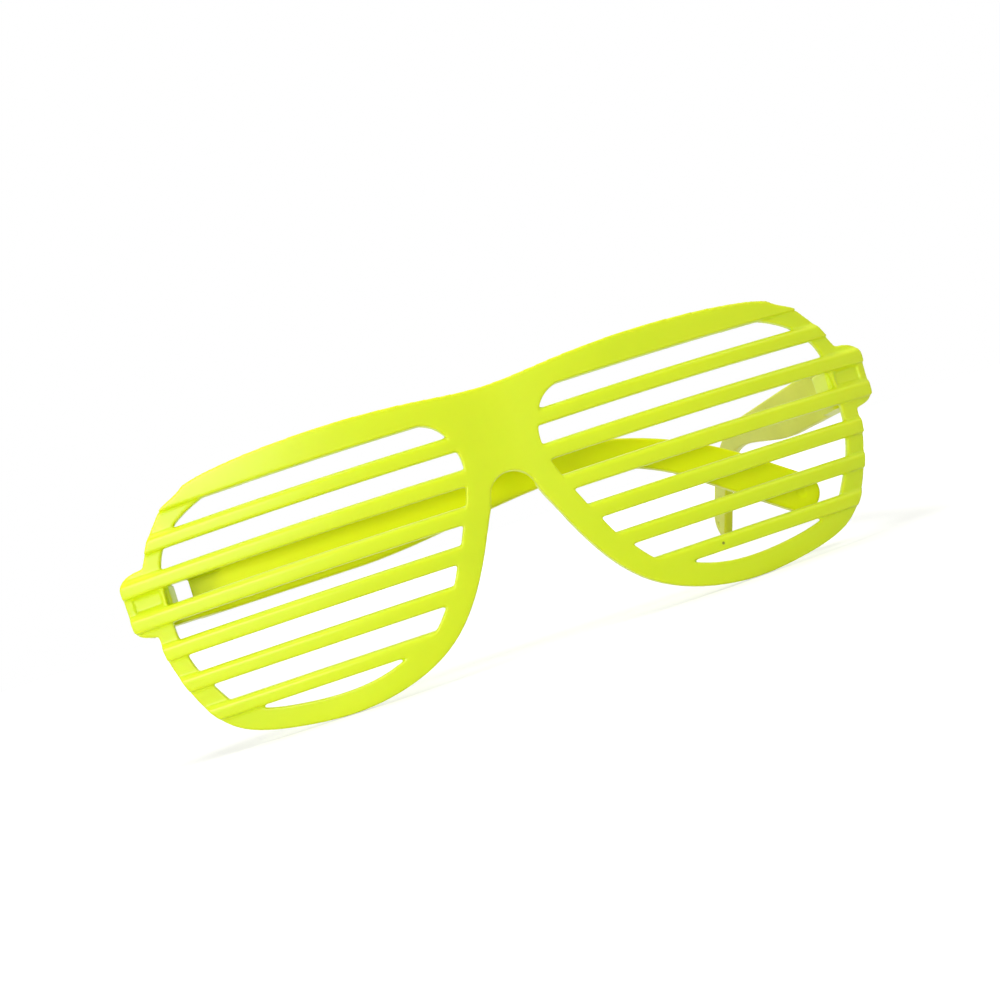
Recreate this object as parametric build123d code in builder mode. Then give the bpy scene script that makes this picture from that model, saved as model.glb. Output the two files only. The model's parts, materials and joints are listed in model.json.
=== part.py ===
"""Slatted novelty glasses: a moulded front with six slats across each eye, and two hinged temples.

The pieces are made in the frame in which the glasses are worn: X to the viewer's right, Y from the
face of the front back along the temples, Z up. At the end they are leaned as one onto a table.
The left temple is folded behind the front and the right temple is open.
"""
from build123d import *
from math import acos, asin, atan2, cos, degrees, hypot, radians, sin, sqrt, tan
import os

# Front, seen from the face
half_width = 74.1  # middle to the outer side of an end-piece
end_piece_width = 4.1  # an end-piece stands out this far past the rim below it
brow_height = 20.3  # highest point of the brow above the middle of the hinge zone
chin_drop = 30.5  # lowest point of the rims
bridge_height = 18.75  # top edge over the nose
arch_radius = 4.5  # top of the nose arch
arch_top = 2.75
aperture_corner = 1.4  # round of its upper corners
arch_flank = 19.0  # degrees above level where the arch runs into the flanks
brow_lower = 15.25  # lower edge of the brow band
end_piece_top = 6.8
end_piece_drop = 5.8
end_piece_overlap = 1.2  # an end-piece's top reaches this far in over the rim
pocket_inset = 1.5  # shallow pocket in an end-piece, from its outer side
pocket_length = 5.6
pocket_depth = 0.5
pocket_margin = 0.3  # to the ribs over and under it

# Front, seen from above
lens_radius = 163.0  # plan curve of each eye
crest_x = 24.0  # place of that curve's crest
bridge_radius = 45.0  # the bridge's hollow between the two eyes
bridge_dip = 2.1  # how far behind the crests the two curves would meet
front_depth = 2.5  # face to back of the brow, the bridge and the rims
rim_recess = 0.8  # the outer rim lies this far behind the slat faces
face_tilt = 10.9  # degrees by which the face leans out at the brow

# Slats
slat_count = 6
slat_height = 3.25
slat_thinning = 0.25  # the first and the last slat are this much lower than the middle ones
slat_depth = 2.1
slat_top_round = 0.95  # front edge on top, where the light catches it
slat_low_round = 0.3  # front edge below, almost sharp
slat_back_round = 0.35
first_slat_top = 11.9
first_pitch = 6.35
pitch_growth = 0.09

# Hinges
hinge_inset = 4.6  # hinge axis from the outer side of an end-piece
hinge_y = 11.5
pin_radius = 0.9
pin_fit = 0.05  # radial clearance of the pin in the temple's fork
pin_press = 0.01  # radial clearance of the pin in the front's lug
pin_inset = 0.3
pin_chamfer = 0.15
knuckle_wall = 1.3
lug_bottom = -1.9
lug_top = 3.1
lug_reach = 3.9  # inner end of the front's lug from the hinge axis
lug_round = 1.2
plate_overlap = 0.3  # the lug and the side wall reach this far into the plate
turning_room = 0.5
fork_gap = 0.2  # play over and under the lug
wall_thickness = 1.9  # side wall of an end-piece
butt_gap = 0.25  # open temple's end to the end-piece
arm_clearance = 0.3  # fork to the side wall

# Temples, along the temple from the hinge axis and up from the middle of the hinge zone
temple_butt = 6.6
temple_inner = 1.7  # inner face from the hinge axis
temple_thickness = 2.6
temple_top = 6.2
temple_bottom = -4.5
slim_start = 38.0  # where the lower edge starts to rise
ear_start = 75.0  # where the upper edge starts to bend down
throat_past_ear = 7.0  # from there to the highest point of the lower edge
throat_bottom = -0.6
ear_radius = 74.0
ear_turn = 36.0  # degrees
ear_straight = 11.5  # straight stretch of the upper edge after the bend
tip_radius = 3.9
ear_lower_run = 23.5  # straight stretch of the lower edge before the tip
temple_round = 0.5
gusset_reach = 13.0  # where the fork's inner gussets run out
mark_radius = 1.1  # ejector mark on a tip's inner face
mark_depth = 0.15

# Overrun of the cuts
over = 5.0

# Places across the front, as shares of the rim's half width
brow_end_share = 0.89  # where the brow band stops with a step
recess_start_share = 0.43
recess_end_share = 0.685
chin_x_share = 0.571

# Half outline of the front, as shares of the rim's half width and of the brow's or the chin's height
brow_shares = ((0.171, 0.961), (0.386, 1.0), (0.571, 0.992), (0.714, 0.958), (0.814, 0.897))
corner_shares = ((0.857, 0.818), (0.889, 0.766), (0.914, 0.680), (0.940, 0.578), (0.964, 0.445))
rim_shares = (
    (1.0, -0.215),
    (0.998, -0.33),
    (0.984, -0.462),
    (0.963, -0.594),
    (0.933, -0.726),
    (0.877, -0.858),
    (0.812, -0.924),
    (0.714, -0.972),
    (0.571, -1.0),
    (0.429, -0.957),
    (0.357, -0.902),
    (0.273, -0.792),
    (0.2135, -0.66),
    (0.171, -0.528),
    (0.137, -0.396),
    (0.108, -0.264),
    (0.086, -0.158),
    (0.073, -0.099),
    (0.0643, -0.043),
)

# One eye's aperture inside the rim, as the same shares
aperture_inner_share = 0.19
aperture_outer_share = 0.775
aperture_shares = (
    (0.828, 0.68),
    (0.874, 0.585),
    (0.930, 0.345),
    (0.947, 0.05),
    (0.952, -0.15),
    (0.945, -0.32),
    (0.926, -0.47),
    (0.896, -0.60),
    (0.862, -0.715),
    (0.800, -0.79),
    (0.690, -0.842),
    (0.557, -0.859),
    (0.455, -0.825),
    (0.385, -0.770),
    (0.312, -0.693),
    (0.263, -0.57),
    (0.228, -0.468),
    (0.200, -0.346),
    (0.175, -0.238),
    (0.153, -0.13),
    (0.133, -0.03),
    (0.117, 0.12),
    (0.108, 0.28),
    (0.113, 0.45),
    (0.134, 0.620),
)

rim_half_width = half_width - end_piece_width
brow_end = brow_end_share * rim_half_width
recess_start = recess_start_share * rim_half_width
recess_end = recess_end_share * rim_half_width
hinge_x = half_width - hinge_inset
tilt = tan(radians(face_tilt))
rise = Vector(0, -tilt, 1)
rise_length = rise.length
knuckle_radius = pin_radius + pin_fit + knuckle_wall
wall_inner = half_width - wall_thickness
wall_end = hinge_y + temple_butt - butt_gap
curve_centre = lens_radius - bridge_dip
bridge_centre = curve_centre - sqrt((lens_radius + bridge_radius) ** 2 - crest_x**2)
bridge_floor = bridge_centre + bridge_radius
bridge_turn = asin(crest_x / (lens_radius + bridge_radius))
bridge_joint = bridge_radius * sin(bridge_turn)
temple_outer = temple_inner + temple_thickness
arm_outer = wall_inner - hinge_x - arm_clearance
ear_direction = Vector(cos(radians(ear_turn)), -sin(radians(ear_turn)))
ear_outward = Vector(sin(radians(ear_turn)), cos(radians(ear_turn)))
throat_reach = ear_start + throat_past_ear
tip_centre = (
    Vector(ear_start, temple_top - ear_radius)
    + ear_outward * (ear_radius - tip_radius)
    + ear_direction * ear_straight
)
fork_bands = ((lug_top + fork_gap, temple_top), (temple_bottom, lug_bottom - fork_gap))


def curve_y(x):
    """Depth of the eye's plan curve at x, at the level of Z = 0."""
    return curve_centre - sqrt(lens_radius**2 - (x - crest_x) ** 2)


def curve_slope(x):
    """Direction of the plan curve at x."""
    return (1, (x - crest_x) / sqrt(lens_radius**2 - (x - crest_x) ** 2))


def slat_top(index):
    """Top of a slat, counted from 0 at the brow."""
    return first_slat_top - index * first_pitch - pitch_growth * index * (index - 1) / 2


def slat_bottom(index):
    """Bottom of a slat."""
    middle = (slat_count - 1) / 2
    return slat_top(index) - slat_height + slat_thinning * ((index - middle) / middle) ** 2


def plan_arc(x_start, x_end, back):
    """One eye's plan curve between two places, set back."""
    x_middle = (x_start + x_end) / 2
    ThreePointArc(
        (x_start, curve_y(x_start) + back),
        (x_middle, curve_y(x_middle) + back),
        (x_end, curve_y(x_end) + back),
    )


def recess_curve(back):
    """The gentle step from the slats' plan curve back to the rim's."""
    x_middle = (recess_start + recess_end) / 2
    Spline(
        (recess_start, curve_y(recess_start) + back),
        (x_middle, curve_y(x_middle) + back + rim_recess / 2),
        (recess_end, curve_y(recess_end) + back + rim_recess),
        tangents=(curve_slope(recess_start), curve_slope(recess_end)),
    )


def bridge_arc(back):
    """The hollow over the nose, from the middle to where the eye's curve starts."""
    ThreePointArc(
        (0, bridge_floor + back),
        (
            bridge_radius * sin(bridge_turn / 2),
            bridge_centre + bridge_radius * cos(bridge_turn / 2) + back,
        ),
        (bridge_joint, curve_y(bridge_joint) + back),
    )


def middle_band(z_low, z_high, x_end, depth, recessed=False):
    """A curved band from the middle of the bridge outwards, its face leaning with the front's."""
    shift = -tilt * z_low
    with BuildPart() as piece:
        with BuildSketch(Plane.XY.offset(z_low)):
            with BuildLine():
                y_end = curve_y(x_end) + shift
                bridge_arc(shift)
                if recessed:
                    plan_arc(bridge_joint, recess_start, shift)
                    recess_curve(shift)
                    plan_arc(recess_end, x_end, shift + rim_recess)
                    y_end = y_end + rim_recess
                else:
                    plan_arc(bridge_joint, x_end, shift)
                bridge_arc(shift + depth)
                plan_arc(bridge_joint, x_end, shift + depth)
                Line((x_end, y_end), (x_end, curve_y(x_end) + shift + depth))
                Line((0, bridge_floor + shift), (0, bridge_floor + shift + depth))
            make_face()
        extrude(amount=(z_high - z_low) * rise_length, dir=rise)
    return piece.part


def hinge_band(z_low, z_high, x_start, x_end, set_back, depth):
    """A block near a hinge, from the set back plan curve to a flat side, leaning with the front's face."""
    shift = set_back - tilt * z_low
    with BuildPart() as piece:
        with BuildSketch(Plane.XY.offset(z_low)):
            with BuildLine():
                plan_arc(x_start, x_end, shift)
                Polyline(
                    (x_start, curve_y(x_start) + shift),
                    (x_start, depth + shift),
                    (x_end, depth + shift),
                    (x_end, curve_y(x_end) + shift),
                )
            make_face()
        extrude(amount=(z_high - z_low) * rise_length, dir=rise)
    return piece.part


def slat_bar(z_low, z_high, x_end, depth):
    """A slat or the brow band, with its long edges rounded."""
    with BuildPart() as bar:
        add(middle_band(z_low, z_high, x_end, depth))
        for side, level, radius in (
            (-1, z_high, slat_top_round),
            (-1, z_low, slat_low_round),
            (1, z_high, slat_back_round),
            (1, z_low, slat_back_round),
        ):
            broad_faces = bar.faces().filter_by(
                lambda face: side * face.normal_at().Y > sin(radians(45))
            )
            long_edges = broad_faces.edges().filter_by(
                lambda edge: abs(edge.tangent_at(0).Z) < sin(radians(45))
                and abs(edge.center().Z - level) < slat_back_round / 2
            )
            fillet(long_edges, radius)
    return bar.part


def scaled(shares):
    """Points of an outline from their shares."""
    return [
        (x * rim_half_width, z * (brow_height if z > 0 else chin_drop)) for x, z in shares
    ]


def half_outline():
    """Half outline of the front, from the top of the bridge round to the nose arch."""
    flank = radians(arch_flank)
    middle = (flank + radians(90)) / 2
    arch_side = (arch_radius * cos(flank), arch_top - arch_radius * (1 - sin(flank)))
    arch_middle = (arch_radius * cos(middle), arch_top - arch_radius * (1 - sin(middle)))
    brow = scaled(brow_shares)
    rim = scaled(rim_shares)
    end_corner = (rim_half_width - end_piece_overlap, end_piece_top)
    side_top = (half_width, end_piece_top / 2)
    side_bottom = (half_width, -end_piece_drop / 2)
    end_foot = (rim_half_width, -end_piece_drop)
    Spline((0, bridge_height), *brow, tangents=((1, 0), (1, -0.34)))
    Spline(brow[-1], *scaled(corner_shares), end_corner)
    Spline(end_corner, side_top, tangents=((1, -0.05), (0, -1)))
    Line(side_top, side_bottom)
    Spline(side_bottom, end_foot, tangents=((0, -1), (-1, -0.25)))
    Line(end_foot, rim[0])
    Spline(*rim, arch_side)
    ThreePointArc(arch_side, arch_middle, (0, arch_top))
    Line((0, arch_top), (0, bridge_height))


def aperture():
    """Outline of the hole that the slats cross."""
    inner = (aperture_inner_share * rim_half_width, brow_lower)
    outer = (aperture_outer_share * rim_half_width, brow_lower)
    Line(inner, outer)
    Spline(outer, *scaled(aperture_shares), inner)


def upright_rod(radius, z_low, z_high):
    """A round rod on the hinge axis, as a cutter."""
    with BuildPart() as rod:
        with BuildSketch(Plane.XY.offset(z_low)):
            with Locations((hinge_x, hinge_y)):
                Circle(radius)
        extrude(amount=z_high - z_low)
    return rod.part


# The viewer's right half of the front is made first: the plate that forms rim and bridge
plate_band = middle_band(
    -chin_drop - over, brow_height + over, half_width + over, front_depth, recessed=True
)
through = chin_drop + brow_height
face_plane = Plane(origin=(0, -through, 0), x_dir=(1, 0, 0), z_dir=(0, -1, 0))

with BuildPart() as outline_prism:
    with BuildSketch(face_plane):
        with BuildLine():
            half_outline()
        make_face()
    extrude(amount=-2 * through)

with BuildPart() as plate:
    add(plate_band)
    with BuildSketch(face_plane) as opening:
        with BuildLine():
            aperture()
        make_face()
        fillet(opening.vertices(), aperture_corner)
    extrude(amount=-2 * through, mode=Mode.SUBTRACT)

# The brow band and the slats, which stand proud of the outer rim
slats = [
    slat_bar(slat_bottom(index), slat_top(index), half_width + over, slat_depth)
    for index in range(slat_count)
]
brow_band = slat_bar(brow_lower, brow_height + over, brow_end, front_depth)

# The end-piece's side wall, against which the open temple butts
with BuildPart() as side_wall:
    add(hinge_band(
        -end_piece_drop - over,
        end_piece_top + over,
        wall_inner,
        half_width + over,
        rim_recess + plate_overlap,
        wall_end + over,
    ))
    with BuildSketch(Plane(origin=(half_width, wall_end, 0), x_dir=(1, 0, 0), z_dir=(0, -1, 0))):
        Rectangle(through, through)
    extrude(amount=-through, mode=Mode.SUBTRACT)

# The hinge's middle lug
lug_inner = hinge_x - lug_reach
lug_outer = wall_inner + plate_overlap
lug_back = hinge_y + knuckle_radius
with BuildPart() as middle_lug:
    add(hinge_band(
        lug_bottom - over,
        lug_top + over,
        lug_inner - over,
        lug_outer + over,
        front_depth - plate_overlap,
        lug_back,
    ))
    with BuildSketch(Plane.XY.offset(lug_bottom)):
        with BuildLine():
            Polyline(
                (lug_inner, lug_back - lug_round),
                (lug_inner, -over),
                (lug_outer, -over),
                (lug_outer, lug_back),
                (lug_inner + lug_round, lug_back),
            )
            RadiusArc((lug_inner + lug_round, lug_back), (lug_inner, lug_back - lug_round), -lug_round)
        make_face()
    extrude(amount=lug_top - lug_bottom, mode=Mode.INTERSECT)

# A shallow pocket in the end-piece's face, between the second and third slat
pocket = hinge_band(
    slat_top(2) + pocket_margin,
    slat_bottom(1) - pocket_margin,
    half_width - pocket_inset - pocket_length,
    half_width - pocket_inset,
    rim_recess + pocket_depth,
    -over,
)

upper_room = upright_rod(knuckle_radius + turning_room, lug_top, temple_top + fork_gap)
lower_room = upright_rod(knuckle_radius + turning_room, temple_bottom - fork_gap, lug_bottom)
lug_bore = upright_rod(pin_radius + pin_press, lug_bottom, lug_top)

with BuildPart() as right_half:
    add(plate.part)
    add(slats)
    add(brow_band)
    add(outline_prism.part, mode=Mode.INTERSECT)
    add(side_wall.part & outline_prism.part)
    add(middle_lug.part)
    add([pocket, upper_room, lower_room, lug_bore], mode=Mode.SUBTRACT)
left_half = mirror(right_half.part, about=Plane.YZ)


def temple_outline():
    """Side view of a temple: along it from the hinge axis, and up."""
    half_turn = radians(ear_turn) / 2
    bend_start = Vector(ear_start, temple_top)
    bend_centre = Vector(ear_start, temple_top - ear_radius)
    bend_middle = bend_centre + Vector(sin(half_turn), cos(half_turn)) * ear_radius
    bend_end = bend_centre + ear_outward * ear_radius
    tip_top = tip_centre + ear_outward * tip_radius
    tip_bottom = tip_centre - ear_outward * tip_radius
    ear_inner = tip_bottom - ear_direction * ear_lower_run
    throat = (throat_reach, throat_bottom)
    handle = (throat_reach - slim_start) / 3
    slim = (slim_start, temple_bottom)
    Line((temple_butt, temple_top), bend_start)
    ThreePointArc(bend_start, bend_middle, bend_end)
    Line(bend_end, tip_top)
    ThreePointArc(tip_top, tip_centre + ear_direction * tip_radius, tip_bottom)
    Line(tip_bottom, ear_inner)
    TangentArc(throat, ear_inner, tangent=(1, 0))
    Bezier(throat, (throat_reach - handle, throat_bottom), (slim_start + handle, temple_bottom), slim)
    Line(slim, (temple_butt, temple_bottom))
    Line((temple_butt, temple_bottom), (temple_butt, temple_top))


# The left temple, folded: along +X from its hinge axis, its outer face to the back
with BuildPart() as arm:
    with BuildSketch(Plane(origin=(0, temple_outer, 0), x_dir=(1, 0, 0), z_dir=(0, -1, 0))):
        with BuildLine():
            temple_outline()
        make_face()
    extrude(amount=temple_thickness)
    fillet(
        arm.edges().filter_by(
            lambda edge: edge.bounding_box().size.Y < temple_round
            and edge.center().X > temple_butt + temple_round
        ),
        temple_round,
    )

with BuildPart() as folded_temple:
    add(arm.part)
    for z_low, z_high in fork_bands:
        with BuildSketch(Plane.XY.offset(z_low)):
            Circle(knuckle_radius)
            with BuildLine():
                Polyline(
                    (0, -knuckle_radius),
                    (temple_butt, -knuckle_radius),
                    (gusset_reach, temple_inner),
                    (gusset_reach, temple_inner + temple_round),
                    (temple_butt + temple_round, temple_inner + temple_round),
                    (temple_butt + temple_round, arm_outer),
                    (0, arm_outer),
                    close=True,
                )
            make_face()
            Circle(pin_radius + pin_fit, mode=Mode.SUBTRACT)
        extrude(amount=z_high - z_low)
    with BuildSketch(Plane(origin=(0, temple_inner, 0), x_dir=(1, 0, 0), z_dir=(0, -1, 0))):
        with Locations((tip_centre.X, tip_centre.Y)):
            Circle(mark_radius)
    extrude(amount=-mark_depth, mode=Mode.SUBTRACT)

with BuildPart() as wire_pin:
    with BuildSketch(Plane.XY.offset(temple_bottom + pin_inset)):
        Circle(pin_radius)
    extrude(amount=temple_top - temple_bottom - 2 * pin_inset)
    chamfer(wire_pin.edges().filter_by(GeomType.CIRCLE), pin_chamfer)

# The whole leans back on a table: it stands on the rims' lowest back edge and on the open temple's tip
chin_x = rim_half_width * chin_x_share
chin_back = curve_y(chin_x) + tilt * chin_drop + front_depth
tip_run = hinge_y + tip_centre.X - chin_back
tip_drop = chin_drop + tip_centre.Y
lean = degrees(acos(tip_radius / hypot(tip_drop, tip_run)) - atan2(tip_run, tip_drop))
leaned = Location((0, 0, 0), (-lean, 0, 0))
left_hinge = Location((-hinge_x, hinge_y, 0))
right_hinge = Location((hinge_x, hinge_y, 0))
opened = right_hinge * Location((0, 0, 0), (0, 0, 90))
right_arm = mirror(folded_temple.part, about=Plane.XZ)
whole = Compound(children=[
    leaned * right_half.part,
    leaned * left_half,
    leaned * opened * right_arm,
]).bounding_box()
stand = Location((-whole.center().X, -whole.center().Y, -whole.min.Z)) * leaned

with BuildPart() as front:
    with Locations(stand):
        add(right_half.part)
        add(left_half)

with BuildPart() as left_temple:
    with Locations(stand * left_hinge):
        add(folded_temple.part)

with BuildPart() as right_temple:
    with Locations(stand * opened):
        add(right_arm)

with BuildPart() as left_hinge_pin:
    with Locations(stand * left_hinge):
        add(wire_pin.part)

with BuildPart() as right_hinge_pin:
    with Locations(stand * right_hinge):
        add(wire_pin.part)

front.part.label = "front"
left_temple.part.label = "left_temple"
right_temple.part.label = "right_temple"
left_hinge_pin.part.label = "left_hinge_pin"
right_hinge_pin.part.label = "right_hinge_pin"

os.makedirs("parts", exist_ok=True)
export_step(front.part, "parts/front.step")
export_step(left_temple.part, "parts/left_temple.step")
export_step(right_temple.part, "parts/right_temple.step")
export_step(left_hinge_pin.part, "parts/left_hinge_pin.step")
export_step(right_hinge_pin.part, "parts/right_hinge_pin.step")
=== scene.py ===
"""Slatted novelty glasses in fluorescent plastic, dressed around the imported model."""
import bpy
import json
from math import pi, radians
from mathutils import Matrix, Vector


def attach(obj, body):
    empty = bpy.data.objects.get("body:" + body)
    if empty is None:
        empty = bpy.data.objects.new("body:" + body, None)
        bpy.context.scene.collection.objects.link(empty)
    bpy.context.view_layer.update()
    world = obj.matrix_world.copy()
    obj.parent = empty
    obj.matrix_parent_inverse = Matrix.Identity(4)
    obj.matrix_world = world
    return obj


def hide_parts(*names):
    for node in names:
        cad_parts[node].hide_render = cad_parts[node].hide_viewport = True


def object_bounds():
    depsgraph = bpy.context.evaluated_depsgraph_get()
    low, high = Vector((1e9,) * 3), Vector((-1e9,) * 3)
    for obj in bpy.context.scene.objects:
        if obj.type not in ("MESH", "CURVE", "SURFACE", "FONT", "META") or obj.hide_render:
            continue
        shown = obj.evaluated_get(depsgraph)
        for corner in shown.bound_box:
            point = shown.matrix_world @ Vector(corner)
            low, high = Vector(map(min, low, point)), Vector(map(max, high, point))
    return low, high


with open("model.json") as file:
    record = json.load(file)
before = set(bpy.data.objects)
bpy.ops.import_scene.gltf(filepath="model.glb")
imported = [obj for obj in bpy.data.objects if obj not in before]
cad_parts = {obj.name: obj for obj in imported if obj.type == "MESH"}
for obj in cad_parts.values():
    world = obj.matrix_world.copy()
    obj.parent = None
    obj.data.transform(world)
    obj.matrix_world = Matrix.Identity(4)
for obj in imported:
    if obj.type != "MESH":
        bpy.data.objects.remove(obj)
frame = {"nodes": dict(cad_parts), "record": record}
cad_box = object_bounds()

# Photographer's camera
# A normal lens, held close in front of the glasses at their own height and rolled, so that they climb to
# the right in the picture.
mm = 0.001  # in metres
camera_place = Vector((-28.58, -304.14, 25.88)) * mm
camera_heading = radians(6.184)
camera_pitch = radians(0.777)
camera_roll = radians(-18.139)
camera_lens = 46.504  # focal length in millimetres
nearest_seen = 10 * mm
camera_data = bpy.data.cameras.new("camera")
camera_data.lens = camera_lens
camera_data.clip_start = nearest_seen
camera = bpy.data.objects.new("camera", camera_data)
bpy.context.scene.collection.objects.link(camera)
camera.matrix_world = (
    Matrix.Translation(camera_place)
    @ Matrix.Rotation(-camera_heading, 4, "Z")
    @ Matrix.Rotation(pi / 2 + camera_pitch, 4, "X")
    @ Matrix.Rotation(camera_roll, 4, "Z")
)
bpy.context.scene.camera = camera
bpy.context.scene.view_settings.view_transform = "Standard"

# Front
# One shot of fluorescent polystyrene from a two-part mould, with the slats, the hinge lugs and the rims
# in one piece. The tool rounds its corners, and its satin skin shows faint flow marks and a few specks.
front_grid = 0.22 * mm
front_rounding = 6  # passes of smoothing
front_plain = "#e1f103"
front_deep = "#dbed01"
front_gloss = 0.38
front_specks = ((34.85, -66.32, 8.4),)
smoothing_pull = 0.5  # share of the way that a pass moves a point towards its neighbours
kept_faces_share = 0.4  # of the fine mesh's faces, once it is smoothed

frame_body = {}  # the body that each CAD node belongs to
for body, nodes in frame["record"]["behaviour"]["bodies"].items():
    for node in nodes:
        frame_body[node] = body


def from_hex(text):
    """An sRGB hex colour as linear red, green, blue and alpha."""
    parts = [int(text[i:i + 2], 16) / 255 for i in (1, 3, 5)]
    return tuple(p / 12.92 if p <= 0.04045 else ((p + 0.055) / 1.055) ** 2.4 for p in parts) + (1.0,)


def add_node(tree, kind, settings=None, **links):
    """A shader node with its settings and the sockets that feed it."""
    node = tree.nodes.new(kind)
    for name, value in (settings or {}).items():
        if name in node.inputs:
            node.inputs[name].default_value = value
        else:
            setattr(node, name, value)
    for name, source in links.items():
        tree.links.new(source, node.inputs[name.replace("_", " ")])
    return node


def moulded_polystyrene(name, plain, deep, gloss, specks):
    """Polystyrene with fluorescent dye, from a finely spark-eroded tool.

    The dye makes it even and bright, and a little light passes into it. The skin has a satin grain, slow
    ripples where it shrank, flow marks of a deeper tone and rare specks of burnt resin. The larger specks
    that the photograph shows have their places in millimetres.
    """
    flow_size = 24 * mm
    flow_stretch = (0.4, 1.0, 1.0)  # draws the flow marks out along X
    streak_low = 0.35
    streak_high = 0.65
    ripple_size = 9 * mm
    ripple_height = 0.03 * mm
    grain_size = 0.5 * mm  # the real grain of about 0.05 mm is too fine to show
    grain_height = 0.004 * mm
    speck_spacing = 14 * mm
    speck_radius = 0.16 * mm
    large_speck_radius = 0.34 * mm
    speck_core_share = 0.6  # of a speck's radius, within which it is darkest
    burnt = "#7f9000"
    satin_low = 0.32
    satin_high = 0.42
    refraction = 1.59  # that of polystyrene
    light_depth = 1.5 * mm
    material = bpy.data.materials.new(name)
    material.use_nodes = True
    tree = material.node_tree
    tree.nodes.clear()
    place = add_node(tree, "ShaderNodeTexCoord").outputs["Object"]
    stretched = add_node(tree, "ShaderNodeMapping", {"Scale": flow_stretch}, Vector=place).outputs[0]
    flow = add_node(tree, "ShaderNodeTexNoise", {"Scale": 1 / flow_size, "Detail": 3.0, "Distortion": 0.7},
                    Vector=stretched).outputs["Fac"]
    streaks = add_node(tree, "ShaderNodeMapRange", {"From Min": streak_low, "From Max": streak_high},
                       Value=flow)
    colour = add_node(tree, "ShaderNodeMixRGB", {"Color1": from_hex(plain), "Color2": from_hex(deep)},
                      Fac=streaks.outputs[0])
    cells = add_node(tree, "ShaderNodeTexVoronoi", {"Scale": 1 / speck_spacing}, Vector=place)
    reach = speck_radius / speck_spacing
    speck = add_node(tree, "ShaderNodeMapRange",
                     {"From Min": reach * speck_core_share, "From Max": reach, "To Min": 1.0, "To Max": 0.0},
                     Value=cells.outputs["Distance"])
    colour = add_node(tree, "ShaderNodeMixRGB", {"Color2": from_hex(burnt)},
                      Color1=colour.outputs[0], Fac=speck.outputs[0])
    for spot in specks:
        apart = add_node(tree, "ShaderNodeVectorMath", {"operation": "DISTANCE"}, Vector=place)
        apart.inputs[1].default_value = Vector(spot) * mm
        dark = add_node(tree, "ShaderNodeMapRange",
                        {"From Min": large_speck_radius * speck_core_share, "From Max": large_speck_radius,
                         "To Min": 1.0, "To Max": 0.0},
                        Value=apart.outputs["Value"])
        colour = add_node(tree, "ShaderNodeMixRGB", {"Color2": from_hex(burnt)},
                          Color1=colour.outputs[0], Fac=dark.outputs[0])
    ripple = add_node(tree, "ShaderNodeTexNoise", {"Scale": 1 / ripple_size, "Detail": 1.0},
                      Vector=place).outputs["Fac"]
    grain = add_node(tree, "ShaderNodeTexNoise", {"Scale": 1 / grain_size, "Detail": 2.0},
                     Vector=place).outputs["Fac"]
    waved = add_node(tree, "ShaderNodeBump", {"Distance": ripple_height}, Height=ripple)
    grained = add_node(tree, "ShaderNodeBump", {"Distance": grain_height}, Height=grain,
                       Normal=waved.outputs[0])
    satin = add_node(tree, "ShaderNodeMapRange", {"To Min": satin_low, "To Max": satin_high}, Value=flow)
    shader = add_node(tree, "ShaderNodeBsdfPrincipled", {
        "IOR": refraction,
        "Specular IOR Level": gloss,
        "Subsurface Weight": 0.6,
        "Subsurface Radius": (1.0, 0.8, 0.05),
        "Subsurface Scale": light_depth,
    }, Base_Color=colour.outputs[0], Roughness=satin.outputs[0], Normal=grained.outputs[0])
    add_node(tree, "ShaderNodeOutputMaterial", Surface=shader.outputs["BSDF"])
    return material


def as_moulded(name, node, grid, rounding, material):
    """A piece that stands for a CAD node, with the node's edges rounded by smoothing a fine even mesh."""
    piece = bpy.data.objects.new(name, frame["nodes"][node].data.copy())
    bpy.context.scene.collection.objects.link(piece)
    remesh = piece.modifiers.new("grid", "REMESH")
    remesh.mode = "VOXEL"
    remesh.voxel_size = grid
    smooth = piece.modifiers.new("rounding", "SMOOTH")
    smooth.factor = smoothing_pull
    smooth.iterations = rounding
    thinned = piece.modifiers.new("thinned", "DECIMATE")
    thinned.ratio = kept_faces_share
    shaped = bpy.data.meshes.new_from_object(piece.evaluated_get(bpy.context.evaluated_depsgraph_get()))
    piece.modifiers.clear()
    piece.data = shaped
    shaped.shade_smooth()
    shaped.materials.clear()
    shaped.materials.append(material)
    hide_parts(node)
    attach(piece, frame_body[node])


front_skin = moulded_polystyrene("fluorescent_polystyrene_front", front_plain, front_deep, front_gloss,
                                 front_specks)
as_moulded("moulded_front", "front", front_grid, front_rounding, front_skin)

# Temples
# Two flat mouldings of the same plastic from their own tool. Their colour is a little yellower than the
# front's: a painted tint that stands for the warmer light in the shade behind the front. Each has a forked
# end for the hinge and a round tip with the mark of an ejector pin.
temple_grid = 0.18 * mm
temple_rounding = 4
# Both temple colours hold a painted tint, yellower than the front's, for the warmer light in the shade behind
# it.
temple_plain_shade_tinted = "#e6ee02"
temple_deep_shade_tinted = "#dee600"
temple_gloss = 0.2
temple_specks = ((71.2, -30.21, 29.32), (71.32, 67.93, 4.72))
temple_skin_shade_tinted = moulded_polystyrene("fluorescent_polystyrene_temple_shade_tinted", temple_plain_shade_tinted, temple_deep_shade_tinted, temple_gloss,
                                  temple_specks)
for side in ("left", "right"):
    as_moulded("moulded_" + side + "_temple", side + "_temple", temple_grid, temple_rounding, temple_skin_shade_tinted)

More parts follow.
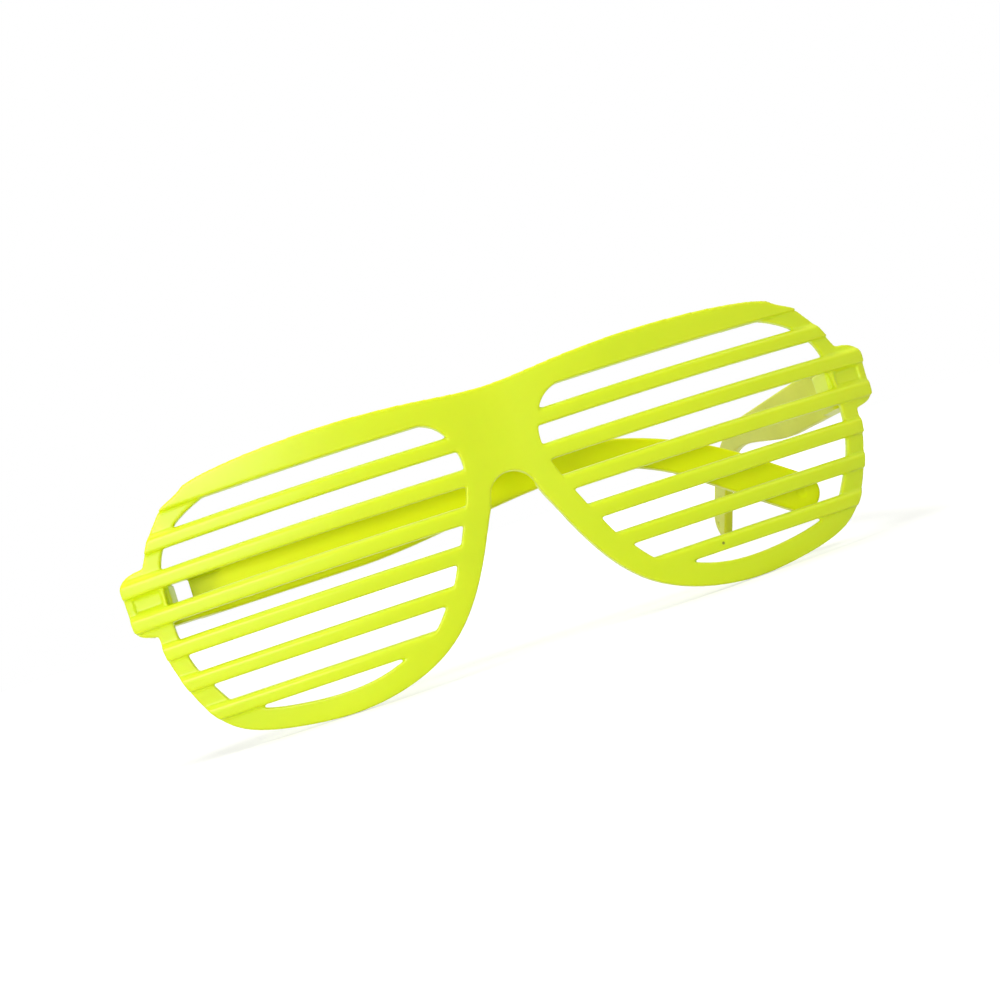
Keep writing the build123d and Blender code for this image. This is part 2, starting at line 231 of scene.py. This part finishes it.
# Hinge pins
# Short lengths of bright drawn steel wire. Each sits tight in the front's lug, and the temple's fork turns
# on it. Drawing leaves fine lines along the wire.
line_width = 0.12 * mm  # real drawing lines are too fine to show
line_depth = 0.002 * mm
line_stretch = (1.0, 1.0, 0.05)  # draws the lines out along Z
wire_dark = "#9a9a96"
wire_bright = "#c9c8c2"
wire_smooth = 0.22
wire_rough = 0.42
wire = bpy.data.materials.new("drawn_steel_wire")
wire.use_nodes = True
tree = wire.node_tree
tree.nodes.clear()
place = add_node(tree, "ShaderNodeTexCoord").outputs["Object"]
drawn = add_node(tree, "ShaderNodeMapping", {"Scale": line_stretch}, Vector=place)
lines = add_node(tree, "ShaderNodeTexNoise", {"Scale": 1 / line_width, "Detail": 2.0},
                 Vector=drawn.outputs[0]).outputs["Fac"]
tone = add_node(tree, "ShaderNodeMixRGB", {"Color1": from_hex(wire_dark), "Color2": from_hex(wire_bright)},
                Fac=lines)
dull = add_node(tree, "ShaderNodeMapRange", {"To Min": wire_smooth, "To Max": wire_rough}, Value=lines)
scored = add_node(tree, "ShaderNodeBump", {"Distance": line_depth}, Height=lines)
shader = add_node(tree, "ShaderNodeBsdfPrincipled", {"Metallic": 1.0}, Base_Color=tone.outputs[0],
                  Roughness=dull.outputs[0], Normal=scored.outputs[0])
add_node(tree, "ShaderNodeOutputMaterial", Surface=shader.outputs["BSDF"])
for node in ("left_hinge_pin", "right_hinge_pin"):
    frame["nodes"][node].data.materials.clear()
    frame["nodes"][node].data.materials.append(wire)

# Table
# A plain table top in matt white paint, without a shine, that runs out of the picture. It is seen as
# white, as in the photo, but for a pool around the glasses that glows less, so that their shadow shows.
table_size = 6.0  # metres
table_white = "#c6c6c3"
pool_radius = 0.15  # metres
pool_glow = 0.56  # of pure white, to which the lamps add
white_radius = 3 * pool_radius  # from here out the table is pure white
white_light = (1.0, 1.0, 1.0, 1.0)


def seen_or_mirrored(tree):
    """1 for the camera's rays, also mirrored or through something clear, and 0 for rays that gather light."""
    paths = add_node(tree, "ShaderNodeLightPath")
    seen = paths.outputs["Is Camera Ray"]
    for kind in ("Is Glossy Ray", "Is Transmission Ray"):
        either = add_node(tree, "ShaderNodeMath", {"operation": "MAXIMUM"})
        tree.links.new(seen, either.inputs[0])
        tree.links.new(paths.outputs[kind], either.inputs[1])
        seen = either.outputs[0]
    return seen


half = table_size / 2
corners = [(-half, -half, 0), (half, -half, 0), (half, half, 0), (-half, half, 0)]
table_mesh = bpy.data.meshes.new("table")
table_mesh.from_pydata(corners, [], [(0, 1, 2, 3)])
table = bpy.data.objects.new("table", table_mesh)
bpy.context.scene.collection.objects.link(table)
paint = bpy.data.materials.new("matt_white_paint")
paint.use_nodes = True
tree = paint.node_tree
tree.nodes.clear()
matt = add_node(tree, "ShaderNodeBsdfDiffuse", {"Color": from_hex(table_white)})
place = add_node(tree, "ShaderNodeTexCoord").outputs["Object"]
away = add_node(tree, "ShaderNodeVectorMath", {"operation": "LENGTH"}, Vector=place)
whiter = add_node(tree, "ShaderNodeMapRange",
                  {"From Min": pool_radius, "From Max": white_radius, "To Min": pool_glow, "To Max": 1.0},
                  Value=away.outputs["Value"])
shown = add_node(tree, "ShaderNodeMath", {"operation": "MULTIPLY"})
tree.links.new(seen_or_mirrored(tree), shown.inputs[0])
tree.links.new(whiter.outputs[0], shown.inputs[1])
glow = add_node(tree, "ShaderNodeEmission", {"Color": white_light}, Strength=shown.outputs[0])
both = add_node(tree, "ShaderNodeAddShader")
tree.links.new(matt.outputs[0], both.inputs[0])
tree.links.new(glow.outputs[0], both.inputs[1])
add_node(tree, "ShaderNodeOutputMaterial", Surface=both.outputs[0])
table_mesh.materials.append(paint)

# Light
# A white room that fills the shadows, and four softboxes that the camera doesn't see: one overhead, one
# behind, one at the right, and a low one that puts a pale glare on the left end of the front.
room_light = 0.32  # on the glasses, where 1 is the white that the camera sees
world = bpy.data.worlds.new("room")
bpy.context.scene.world = world
world.use_nodes = True
tree = world.node_tree
tree.nodes.clear()
strength = add_node(tree, "ShaderNodeMapRange", {"To Min": room_light, "To Max": 1.0},
                    Value=seen_or_mirrored(tree))
air = add_node(tree, "ShaderNodeBackground", {"Color": white_light}, Strength=strength.outputs[0])
add_node(tree, "ShaderNodeOutputWorld", Surface=air.outputs[0])


def softbox(name, place, width, height, power):
    """A softbox turned to the middle of the front. Its place and size are in metres, its power in watts."""
    lamp_data = bpy.data.lights.new(name, "AREA")
    lamp_data.shape = "RECTANGLE"
    lamp_data.size = width
    lamp_data.size_y = height
    lamp_data.energy = power
    lamp = bpy.data.objects.new(name, lamp_data)
    lamp.visible_camera = False
    bpy.context.scene.collection.objects.link(lamp)
    lamp.location = place
    aim = Vector((0, cad_box[0][1], cad_box[1][2] / 2))
    lamp.rotation_euler = (aim - lamp.location).to_track_quat("-Z", "Y").to_euler()


softbox("overhead_softbox", place=(-0.09, -0.16, 0.55), width=0.25, height=0.25, power=1.68)
softbox("back_softbox", place=(0.0, 0.35, 0.45), width=0.4, height=0.3, power=0.53)
softbox("right_softbox", place=(0.35, -0.35, 0.4), width=0.25, height=0.25, power=0.5)
softbox("low_softbox", place=(-0.25, -0.382, 0.05), width=0.27, height=0.06, power=0.82)
